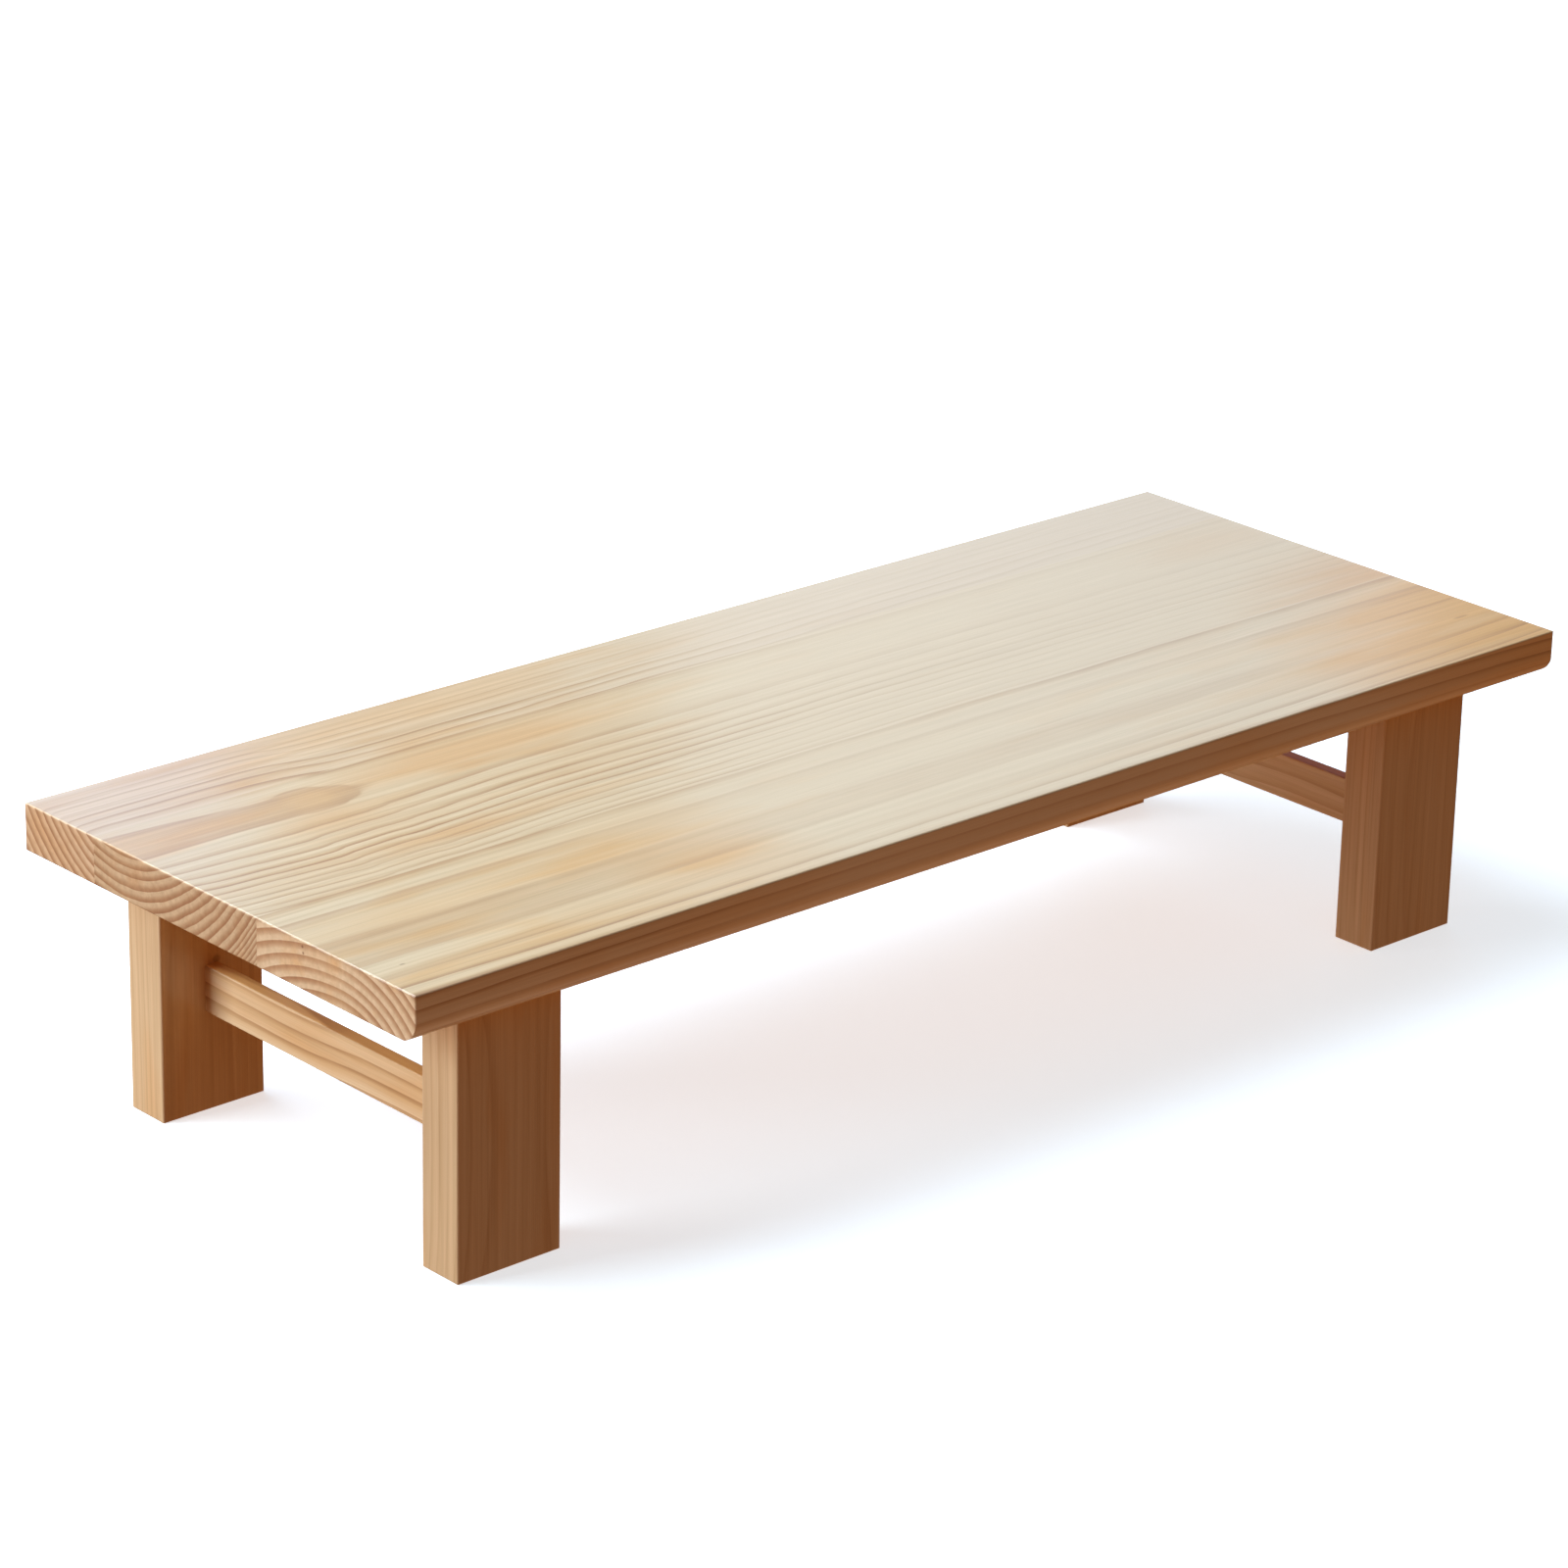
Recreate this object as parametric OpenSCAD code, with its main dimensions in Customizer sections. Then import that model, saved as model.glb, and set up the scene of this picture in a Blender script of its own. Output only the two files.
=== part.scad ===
// Low floor table: a thick top of three glued boards on two end frames.
// X runs along the table, the sitter's front edge is at -Y, Z is up, and the floor is at Z = 0.

/* [Top] */
// Length of the top
top_l = 1400; // [1000:10:1800]
// Thickness of the boards of the top
top_t = 45; // [38:1:60]
// Width of the back board
back_board_w = 104; // [70:1:160]
// Width of the middle board
middle_board_w = 233; // [180:1:280]
// Width of the front board
front_board_w = 213; // [180:1:280]
// Radius of the rounding under the front edge
front_round_r = 21; // [6:1:32]
// Radius that takes the sharpness off the edges of the top
top_ease_r = 1.5; // [0.5:0.5:3]

/* [Board dowels] */
// Number of dowels along each glued seam
dowels_per_seam = 5; // [2:1:7]
// Diameter of a dowel
dowel_d = 10; // [6:1:14]
// Length of a dowel, half of it in each board
dowel_l = 60; // [40:2:80]
// Distance from one dowel to the next
dowel_spacing = 310; // [80:5:330]
// Chamfer at both ends of a dowel
dowel_chamfer = 1.5; // [0.5:0.5:2.5]

/* [Legs] */
// Height of the table
table_h = 300; // [270:5:420]
// Width of a leg along the table
leg_l = 112; // [80:1:150]
// Thickness of a leg across the table
leg_w = 48; // [42:1:70]
// From the end of the top to the outer face of a leg
leg_end_inset = 77; // [20:1:160]
// From the long edge of the top to the face of a leg
leg_side_inset = 42; // [25:1:70]
// Radius on the upright edges of a leg
leg_ease_r = 2; // [0.5:0.5:4]
// Radius round the sole of a leg
sole_ease_r = 1.5; // [0.5:0.5:3]

/* [Lower rails] */
// Thickness of a lower rail
rail_t = 15; // [12:1:30]
// Height of a lower rail
rail_h = 45; // [30:1:60]
// From the floor to the underside of a lower rail
rail_z = 96; // [20:1:110]
// Radius on the long edges of a lower rail
rail_ease_r = 1.5; // [0.5:0.5:3]
// Length of the tenons of a lower rail
rail_tenon_l = 30; // [15:1:38]
// Shoulder beside each cheek of a lower rail's tenon
rail_cheek = 3; // [2:0.5:4]
// Shoulder over and under a lower rail's tenon
rail_shoulder = 5; // [3:1:8]

/* [Top battens] */
// Thickness of a batten along the table
batten_t = 40; // [36:1:60]
// Height of a batten
batten_h = 50; // [44:1:60]
// Radius on the lower long edges of a batten
batten_ease_r = 2; // [0.5:0.5:4]
// Length of the tenons of a batten
batten_tenon_l = 32; // [15:1:38]
// Thickness of a batten's tenon
batten_tenon_t = 14; // [10:1:20]
// Shoulder under a batten's tenon
batten_low_shoulder = 8; // [4:1:12]
// Shoulder over a batten's tenon, which leaves wood over the mortise
batten_top_shoulder = 14; // [8:1:20]

/* [Tenons] */
// Chamfer at the end of every tenon
tenon_chamfer = 1.5; // [0.5:0.5:2.5]

/* [Fixings] */
// Thread diameter of the bolts
bolt_d = 8; // [6:1:8]
// Length of a bolt under its head
bolt_l = 50; // [46:1:54]
// Diameter of a bolt's head
bolt_head_d = 13; // [11:0.5:15]
// Height of a bolt's head
bolt_head_h = 8; // [5:0.5:9]
// Width across the flats of the key socket
socket_flats = 6; // [4:0.5:7]
// Depth of the key socket
socket_depth = 4; // [2:0.5:4.5]
// Chamfer at the tip of a bolt and round its head
bolt_chamfer = 0.8; // [0.4:0.1:1.2]
// From the middle bolt of a batten to the next one
bolt_spacing = 130; // [90:5:150]
// Outer diameter of a washer
washer_d = 24; // [18:1:26]
// Thickness of a washer
washer_t = 2; // [1:0.5:3]
// Length of a threaded insert
insert_l = 20; // [12:1:24]
// Outer diameter of a threaded insert
insert_d = 13; // [12:0.5:16]
// Diameter of the collar at the mouth of an insert
insert_collar_d = 17; // [17:0.5:20]
// Thickness of that collar
insert_collar_t = 1.5; // [1:0.5:2]
// Width across the flats of the key socket in an insert
insert_flats = 9; // [8.5:0.5:10]
// Depth of that socket
insert_socket_depth = 3.5; // [2:0.5:6]
// Depth of an insert below the underside of the top
insert_recess = 0.5; // [0.2:0.1:1]
// Length of bolt inside an insert
thread_grip = 18; // [10:1:22]

/* [Clearances] */
// Glue gap round a tenon or a dowel
glue_gap = 0.1; // [0.05:0.05:0.3]
// Room past the end of a tenon, a dowel or a bolt
end_room = 1.5; // [0.5:0.5:3]
// Play of a bolt in its hole, on each side
bolt_play = 0.5; // [0.3:0.1:1]
// Way that an outer bolt can slide as the top swells and shrinks, to each side
season_way = 3; // [1:0.5:5]
// Room round a washer in its counterbore
counterbore_room = 1; // [0.5:0.5:2]
// Play of a bolt inside an insert or a washer, on each side
thread_play = 0.05; // [0.02:0.01:0.1]

/* [Hidden] */
$fn = 96;

// How far a cutting shape runs past the face that it cuts
past = 1;
// Side of the tables that a leg or a frame stands on
left = -1;
right = 1;
front = -1;
back = 1;

// Top
top_w = back_board_w + middle_board_w + front_board_w;
top_z = table_h - top_t;
front_seam_y = front_board_w - top_w / 2;
back_seam_y = front_seam_y + middle_board_w;

// End frames
leg_h = top_z;
frame_x = top_l / 2 - leg_end_inset - leg_l / 2;
leg_y = top_w / 2 - leg_side_inset - leg_w / 2;
frame_span = 2 * leg_y - leg_w;
batten_z = top_z - batten_h;

// Sections of the tenons, as thickness and height
rail_tenon = [rail_t - 2 * rail_cheek, rail_h - 2 * rail_shoulder];
rail_tenon_z = rail_z + rail_h / 2;
batten_tenon = [batten_tenon_t, batten_h - batten_low_shoulder - batten_top_shoulder];
batten_tenon_z = batten_z + batten_low_shoulder + batten_tenon[1] / 2;

// Bolts, from the head upwards
seat_z = top_z + thread_grip - bolt_l + washer_t + insert_recess;
head_top_z = seat_z - washer_t;
bolt_tip_z = head_top_z + bolt_l;
bolt_hole_d = bolt_d + 2 * bolt_play;
counterbore_d = washer_d + 2 * counterbore_room;
insert_z = top_z + insert_recess;
insert_hole_l = max(insert_recess + insert_l, bolt_tip_z - top_z) + end_room;

// Colours
pine = [0.87, 0.76, 0.61];
pine_shade = [0.80, 0.66, 0.49];
beech = [0.84, 0.66, 0.48];
zinc = [0.72, 0.73, 0.75];
brass = [0.78, 0.66, 0.38];

// What a rounding takes off a square corner at the origin, with the material towards +X and +Y
module corner_waste(r) {
    difference() {
        translate([-past, -past]) square(r + past);
        translate([r, r]) circle(r);
    }
}

// Rectangle from the origin, with a radius for each corner: low left, low right, top right, top left
module eased_rect(size, radii) {
    corners = [[0, 0], [size[0], 0], size, [0, size[1]]];
    difference() {
        square(size);
        for (i = [0:3]) {
            if (radii[i] > 0) {
                translate(corners[i]) rotate(90 * i) corner_waste(radii[i]);
            }
        }
    }
}

// Block from the origin that is eased as seen from above, from the front and from the right
module eased_block(size, plan_radii, front_radii, end_radii) {
    intersection() {
        linear_extrude(size[2]) eased_rect([size[0], size[1]], plan_radii);
        translate([0, size[1], 0]) rotate([90, 0, 0]) linear_extrude(size[1])
            eased_rect([size[0], size[2]], front_radii);
        rotate([90, 0, 90]) linear_extrude(size[0]) eased_rect([size[1], size[2]], end_radii);
    }
}

// Places what follows at each bolt, with its sliding way: the middle bolt is fixed, the outer ones slide
module at_bolts(end) {
    for (i = [-1:1]) {
        $slide = abs(i) * season_way;
        translate([end * frame_x, i * bolt_spacing, 0]) children();
    }
}

// Upright hole that is drawn out along Y by this way to each side
module long_hole(d, h, slide) {
    for (side = [-1, 1]) {
        translate([0, side * slide, 0]) cylinder(d = d, h = h);
    }
    if (slide > 0) {
        translate([-d / 2, -slide, 0]) cube([d, 2 * slide, h]);
    }
}

// Places what follows at each dowel, lying across its seam
module at_dowels() {
    for (seam_y = [front_seam_y, back_seam_y]) {
        for (i = [0:dowels_per_seam - 1]) {
            x = (i - (dowels_per_seam - 1) / 2) * dowel_spacing;
            translate([x, seam_y, top_z + top_t / 2]) rotate([90, 0, 0]) children();
        }
    }
}

// Cylinder from the origin with a chamfer at each end
module chamfered_cylinder(d, h, low_chamfer, top_chamfer) {
    rotate_extrude() polygon([
        [0, 0],
        [d / 2 - low_chamfer, 0],
        [d / 2, low_chamfer],
        [d / 2, h - top_chamfer],
        [d / 2 - top_chamfer, h],
        [0, h]
    ]);
}

// Six-sided prism from the origin, sized across its flats
module hexagon(flats, h) {
    cylinder(d = flats / cos(30), h = h, $fn = 6);
}

// Holes in the top: one over each bolt, and one for each dowel
module top_holes() {
    for (end = [left, right]) {
        at_bolts(end) {
            translate([0, 0, top_z - past]) cylinder(d = insert_d + 2 * glue_gap, h = insert_hole_l + past);
            translate([0, 0, top_z - past])
                cylinder(d = insert_collar_d + 2 * glue_gap, h = insert_recess + insert_collar_t + glue_gap + past);
        }
    }
    at_dowels() cylinder(d = dowel_d + 2 * glue_gap, h = dowel_l + 2 * end_room, center = true);
}

// Board of the top, eased on the edges that show: the seam edges stay square
module top_board(y, w, front_ease, back_ease, under_front) {
    difference() {
        translate([-top_l / 2, y, top_z]) eased_block(
            [top_l, w, top_t],
            [front_ease, front_ease, back_ease, back_ease],
            [top_ease_r, top_ease_r, top_ease_r, top_ease_r],
            [under_front, back_ease, back_ease, front_ease]
        );
        top_holes();
    }
}

module top_board_back() {
    color(pine) top_board(back_seam_y, back_board_w, 0, top_ease_r, 0);
}

module top_board_middle() {
    color(pine) top_board(front_seam_y, middle_board_w, 0, 0, 0);
}

module top_board_front() {
    color(pine) top_board(-top_w / 2, front_board_w, top_ease_r, 0, front_round_r);
}

module board_dowels() {
    color(beech) at_dowels() translate([0, 0, -dowel_l / 2])
        chamfered_cylinder(dowel_d, dowel_l, dowel_chamfer, dowel_chamfer);
}

// Blind mortise with round ends in the inner face of a leg, for a tenon of this section and length
module mortise(section, tenon_l, z) {
    translate([0, leg_w / 2 - tenon_l - end_room, z]) rotate([-90, 0, 0])
        long_hole(section[0] + 2 * glue_gap, tenon_l + end_room + past, (section[1] - section[0]) / 2);
}

// Leg on its sole at the origin, with its mortises in the +Y face
module leg() {
    difference() {
        translate([-leg_l / 2, -leg_w / 2, 0]) eased_block(
            [leg_l, leg_w, leg_h],
            [leg_ease_r, leg_ease_r, leg_ease_r, leg_ease_r],
            [sole_ease_r, sole_ease_r, 0, 0],
            [sole_ease_r, sole_ease_r, 0, 0]
        );
        mortise(rail_tenon, rail_tenon_l, rail_tenon_z);
        mortise(batten_tenon, batten_tenon_l, batten_tenon_z);
    }
}

// Leg at one corner, turned so that its mortises face the other leg of its frame
module leg_at(end, side) {
    color(pine_shade) translate([end * frame_x, side * leg_y, 0]) rotate(side == back ? 180 : 0) leg();
}

module leg_front_left() { leg_at(left, front); }
module leg_back_left() { leg_at(left, back); }
module leg_front_right() { leg_at(right, front); }
module leg_back_right() { leg_at(right, back); }

// Tenon with round edges from the shoulder at the origin out along +Y, chamfered at its end
module tenon(section, l) {
    t = section[0];
    round_z = (section[1] - t) / 2;
    for (z = [-round_z, round_z]) {
        translate([0, 0, z]) rotate([-90, 0, 0]) chamfered_cylinder(t, l, 0, tenon_chamfer);
    }
    translate([0, 0, -round_z]) linear_extrude(2 * round_z) polygon([
        [-t / 2, 0],
        [t / 2, 0],
        [t / 2, l - tenon_chamfer],
        [t / 2 - tenon_chamfer, l],
        [tenon_chamfer - t / 2, l],
        [-t / 2, l - tenon_chamfer]
    ]);
}

// Tenons at both ends of a rail between the legs
module tenons(section, l, z) {
    for (turn = [0, 180]) {
        rotate(turn) translate([0, frame_span / 2 - past, z]) tenon(section, l + past);
    }
}

// Rail between the legs of a frame, eased along its long edges and centred on X = 0
module rail_body(t, h, z, low_r, top_r) {
    translate([-t / 2, frame_span / 2, z]) rotate([90, 0, 0]) linear_extrude(frame_span)
        eased_rect([t, h], [low_r, low_r, top_r, top_r]);
}

module lower_rail(end) {
    color(pine) translate([end * frame_x, 0, 0]) {
        rail_body(rail_t, rail_h, rail_z, rail_ease_r, rail_ease_r);
        tenons(rail_tenon, rail_tenon_l, rail_tenon_z);
    }
}

module lower_rail_left() { lower_rail(left); }
module lower_rail_right() { lower_rail(right); }

// Holes in a batten: a round one in the middle and a long one to each side, counterbored from below
module batten_holes(end) {
    at_bolts(end) {
        translate([0, 0, batten_z - past]) long_hole(bolt_hole_d, batten_h + 2 * past, $slide);
        translate([0, 0, batten_z - past]) long_hole(counterbore_d, seat_z - batten_z + past, $slide);
    }
}

module top_batten(end) {
    color(pine_shade) difference() {
        translate([end * frame_x, 0, 0]) {
            rail_body(batten_t, batten_h, batten_z, batten_ease_r, 0);
            tenons(batten_tenon, batten_tenon_l, batten_tenon_z);
        }
        batten_holes(end);
    }
}

module top_batten_left() { top_batten(left); }
module top_batten_right() { top_batten(right); }

// Socket head bolt, with the underside of its head at the origin and its shank up
module bolt() {
    difference() {
        union() {
            chamfered_cylinder(bolt_d, bolt_l, 0, bolt_chamfer);
            translate([0, 0, -bolt_head_h]) chamfered_cylinder(bolt_head_d, bolt_head_h, bolt_chamfer, 0);
        }
        translate([0, 0, -bolt_head_h - past]) hexagon(socket_flats, socket_depth + past);
    }
}

module batten_bolts() {
    color(zinc) for (end = [left, right]) {
        at_bolts(end) translate([0, 0, head_top_z]) bolt();
    }
}

// Flat ring from the origin up
module ring(outer_d, inner_d, h) {
    difference() {
        cylinder(d = outer_d, h = h);
        translate([0, 0, -past]) cylinder(d = inner_d, h = h + 2 * past);
    }
}

module bolt_washers() {
    color(zinc) for (end = [left, right]) {
        at_bolts(end) translate([0, 0, head_top_z]) ring(washer_d, bolt_d + 2 * thread_play, washer_t);
    }
}

// Threaded insert with its collar at the origin, a key socket in its mouth and its bore through
module threaded_insert() {
    difference() {
        union() {
            cylinder(d = insert_d, h = insert_l);
            cylinder(d = insert_collar_d, h = insert_collar_t);
        }
        translate([0, 0, -past]) cylinder(d = bolt_d + 2 * thread_play, h = insert_l + 2 * past);
        translate([0, 0, -past]) hexagon(insert_flats, insert_socket_depth + past);
    }
}

module threaded_inserts() {
    color(brass) for (end = [left, right]) {
        at_bolts(end) translate([0, 0, insert_z]) threaded_insert();
    }
}

top_board_back();
top_board_middle();
top_board_front();
board_dowels();
leg_front_left();
leg_back_left();
leg_front_right();
leg_back_right();
lower_rail_left();
lower_rail_right();
top_batten_left();
top_batten_right();
batten_bolts();
bolt_washers();
threaded_inserts();
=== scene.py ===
import math

import bmesh
import bpy
from mathutils import Matrix, Vector


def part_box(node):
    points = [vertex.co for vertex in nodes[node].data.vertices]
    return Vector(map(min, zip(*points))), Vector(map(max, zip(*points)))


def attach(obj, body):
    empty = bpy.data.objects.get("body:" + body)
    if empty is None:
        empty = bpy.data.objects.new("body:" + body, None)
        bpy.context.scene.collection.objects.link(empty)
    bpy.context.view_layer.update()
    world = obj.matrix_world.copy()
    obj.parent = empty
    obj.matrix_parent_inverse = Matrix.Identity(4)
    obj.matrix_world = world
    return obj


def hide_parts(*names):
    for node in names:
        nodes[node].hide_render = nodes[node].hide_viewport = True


# Looks of a low pine table. Metres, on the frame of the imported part:
# X along the table, the sitter's front edge at -Y, Z up, floor at Z = 0.

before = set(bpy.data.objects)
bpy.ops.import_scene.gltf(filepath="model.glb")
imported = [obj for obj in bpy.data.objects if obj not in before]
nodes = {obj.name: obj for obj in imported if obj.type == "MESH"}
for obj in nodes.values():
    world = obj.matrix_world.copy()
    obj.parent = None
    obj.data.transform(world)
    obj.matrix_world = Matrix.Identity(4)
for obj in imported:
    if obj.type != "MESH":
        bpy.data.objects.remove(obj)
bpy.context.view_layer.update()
print("frame loaded:", len(nodes), "nodes")


# Small helpers for node trees

noiseGain = 4.0    # the noise texture stays near its middle, and this spreads it out


def feed(tree, socket, value):
    # a socket gets a link, anything else is set as its value
    if isinstance(value, bpy.types.NodeSocket):
        tree.links.new(value, socket)
    else:
        socket.default_value = value


def addNode(tree, kind, inputs=None, **settings):
    node = tree.nodes.new(kind)
    for key, value in settings.items():
        setattr(node, key, value)
    for key, value in (inputs or {}).items():
        feed(tree, node.inputs[key], value)
    return node


def calc(tree, operation, *values, clamp=False):
    node = addNode(tree, "ShaderNodeMath", operation=operation, use_clamp=clamp)
    for socket, value in zip(node.inputs, values):
        feed(tree, socket, value)
    return node.outputs[0]


def asShare(tree, value):
    # from -1 to 1 down to 0 to 1
    return calc(tree, "MULTIPLY_ADD", value, 0.5, 0.5, clamp=True)


def joinAxes(tree, x, y, z):
    return addNode(tree, "ShaderNodeCombineXYZ", {0: x, 1: y, 2: z}).outputs[0]


def lengthOf(tree, vector):
    return addNode(tree, "ShaderNodeVectorMath", {0: vector}, operation="LENGTH").outputs["Value"]


def facing(tree, normal, way):
    # 1 where the face looks that way, 0 where it stands square to it
    node = addNode(tree, "ShaderNodeVectorMath", {0: normal, 1: way}, operation="DOT_PRODUCT")
    return node.outputs["Value"]


def noise(tree, vector, scale=1.0, detail=2.0, roughness=0.5):
    # about -1 to 1
    node = addNode(tree, "ShaderNodeTexNoise",
                   {"Vector": vector, "Scale": scale, "Detail": detail, "Roughness": roughness})
    return calc(tree, "MULTIPLY_ADD", node.outputs["Fac"], noiseGain, -0.5 * noiseGain)


def ramp(tree, value, stops, between="LINEAR"):
    # grey ramp through (position, height) stops
    node = addNode(tree, "ShaderNodeValToRGB", {"Fac": value})
    node.color_ramp.interpolation = between
    elements = node.color_ramp.elements
    while len(elements) < len(stops):
        elements.new(0.5)
    for element, (position, height) in zip(elements, stops):
        element.position = position
        element.color = (height, height, height, 1.0)
    return node.outputs["Color"]


def blendColors(tree, factor, first, second, how="MIX"):
    node = addNode(tree, "ShaderNodeMix", data_type="RGBA", blend_type=how)
    colorSockets = [s for s in node.inputs if s.type == "RGBA"]
    feed(tree, node.inputs[0], factor)
    feed(tree, colorSockets[0], first)
    feed(tree, colorSockets[1], second)
    return [s for s in node.outputs if s.type == "RGBA"][0]


def tinted(tree, share, color, tint):
    # the color times a tint, on a share of the surface
    return blendColors(tree, share, color, blendColors(tree, 1.0, color, tint, "MULTIPLY"))


def emptyMaterial(name):
    material = bpy.data.materials.new(name)
    material.use_nodes = True
    material.node_tree.nodes.clear()
    return material, material.node_tree


def dress(piece, material):
    piece.data.materials.clear()
    piece.data.materials.append(material)


# Pine: yearly rings round a wandering pith, in millimetres of a space that each board sets out:
# along its grain, across its face, and deep into it

toMillimetres = 1000.0

pineFinish = {
    "springWood": (0.72, 0.50, 0.285, 1.0),
    "warmWood": (0.68, 0.38, 0.165, 1.0),      # slow drift and patches towards orange
    "amberWood": (0.56, 0.31, 0.12, 1.0),      # broad soft part of each summer band
    "summerWood": (0.38, 0.17, 0.07, 1.0),     # its sharp outer line
    "endWood": (0.82, 0.76, 0.73, 1.0),        # multiplies the color on end grain
    "markColor": (0.20, 0.07, 0.025, 1.0),
    "markCore": 0.35,                         # share of a dark mark that is fully dark
    "drift": 0.42,
    "patchBlend": 0.7,
    "patchGain": 1.1,
    "patchStart": -0.10,
    "spotStreak": 0.45,                        # how far the warm spots break up into streaks
    "bandBlend": 0.75,
    "lineBlend": 0.75,
    "fibreBlend": 0.10,
    "streakBlend": 0.12,
    "poreBlend": 0.14,
    "greenFall": 1.25,                         # darker wood is redder: green and blue fall
    "blueFall": 1.6,                           # by these powers of the tone
    "endStops": [(0.55, 0.0), (0.9, 1.0)],     # how squarely a face cuts the fibres of end grain
    "paintedUpwardStops": [(0.8, 0.0), (1.0, 1.0)],   # how level an upper face is
    "poreStops": [(0.66, 0.0), (0.95, 1.0)],
    "paintedShadeReach": 10.0,                         # the painted light and shade below the upper face grows over a share of this depth
    "paintedShadeStops": [(0.1, 0.0), (0.3, 1.0)],
    "roughness": 0.42,
    "roughnessDrift": 0.06,
    "lineRoughness": -0.05,
    "endRoughness": 0.12,
    "fibreRelief": 0.5,
    "lineRelief": 0.8,
    "poreRelief": -0.8,
    "reliefDepth": 0.00006,
    "reliefStrength": 0.6,
    "refraction": 1.5,
    "gloss": 0.5,
    "lacquer": 0.8,
    "lacquerRoughness": 0.22,
    "lacquerRefraction": 1.48,
    "seedStep": 37.0,                          # keeps the noise of two boards apart
}

# Growth of the tree
growth = {
    "ripple": 0.22,          # share of the short waves in a ring
    "calmReach": 30.0,       # the waves grow over this far outwards from the calm heart
    "widthStep": 0.045,      # how quickly the width of the years changes
    "uneven": 0.25,          # and how much
    "firstYear": 60.0,
    "pathReach": 300.0,      # of the paths that follow the radius
    "weakest": 0.6,          # strength of the faintest year, where the boldest has 1
    "lineFade": 0.25,        # years fade here and there along the faces
    "lineMean": 0.78,
    "endStrength": 1.0,      # of the rings on end grain
    "endChance": 0.35,
    "steepAt": 35.0,         # this far beside the pith a line has its full strength
    "band": [(0.0, 0.0), (0.35, 0.08), (0.80, 0.85), (0.94, 1.0), (1.0, 0.0)],
    "line": [(0.0, 0.0), (0.66, 0.0), (0.90, 0.85), (0.95, 1.0), (1.0, 0.0)],
}

# Noises of the wood: steps in a millimetre along the grain and across it, detail, roughness
grainNoises = {
    "wobble": (0.0045, 0.012, 2.0, 0.5),
    "ripple": (0.016, 0.07, 2.0, 0.5),
    "lineFade": (0.010, 0.028, 2.0, 0.5),
    "drift": (0.004, 0.011, 2.0, 0.5),
    "patches": (0.005, 0.026, 2.0, 0.5),
    "spotStreaks": (0.004, 0.05, 3.0, 0.5),
    "streaks": (0.0016, 0.16, 3.0, 0.6),
    "fibre": (0.010, 1.6, 4.0, 0.62),
    "pores": (0.045, 2.4, 1.0, 0.5),
}


def grainSpace(tree, axes, start):
    # signed axis letters and the start of each, in millimetres
    position = addNode(tree, "ShaderNodeTexCoord").outputs["Object"]
    split = addNode(tree, "ShaderNodeSeparateXYZ", {0: position})
    parts = []
    for (sign, letter), offset in zip(axes, start):
        scale = -toMillimetres if sign == "-" else toMillimetres
        parts.append(calc(tree, "MULTIPLY_ADD", split.outputs["xyz".index(letter)], scale, offset))
    return parts


def grainNoise(tree, grain, kind, seed):
    # drawn out along the grain
    along, across, deep = grain
    lengthwise, crosswise, detail, roughness = grainNoises[kind]
    place = joinAxes(tree, calc(tree, "MULTIPLY_ADD", along, lengthwise, seed),
                     calc(tree, "MULTIPLY", across, crosswise),
                     calc(tree, "MULTIPLY", deep, crosswise))
    return noise(tree, place, detail=detail, roughness=roughness)


def pathValue(tree, place, points, span, start=0.0):
    # smooth curve through (place, value) points, added to a start value
    if not points:
        return start
    reach = max(abs(value) for where, value in points) or 1.0
    node = addNode(tree, "ShaderNodeFloatCurve", {"Value": calc(tree, "DIVIDE", place, span)})
    curve = node.mapping.curves[0]
    node.mapping.use_clip = False
    for i, (where, value) in enumerate(points):
        spot = (where / span, 0.5 + 0.5 * value / reach)
        if i < 2:    # a new curve has two points
            curve.points[i].location = spot
        else:
            curve.points.new(*spot)
    node.mapping.update()
    return calc(tree, "MULTIPLY_ADD", node.outputs[0], 2.0 * reach, start - reach)


def faded(tree, grain, board, value):
    # calmer wood along a part of the board
    if "fadePath" not in board:
        return value
    fade = pathValue(tree, grain[0], board["fadePath"], board["span"])
    return calc(tree, "MULTIPLY", value, fade)


def spotAmount(tree, grain, spot, core):
    # a soft oval: its middle, its reach along and across the grain, and its strength
    x, y, z, length, width, strength = spot
    gaps = [calc(tree, "DIVIDE", calc(tree, "SUBTRACT", part, middle), reach)
            for part, middle, reach in zip(grain, (x, y, z), (length, width, width))]
    away = lengthOf(tree, joinAxes(tree, *gaps))
    return ramp(tree, away, [(core, strength), (1.0, 0.0)], "EASE")


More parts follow.
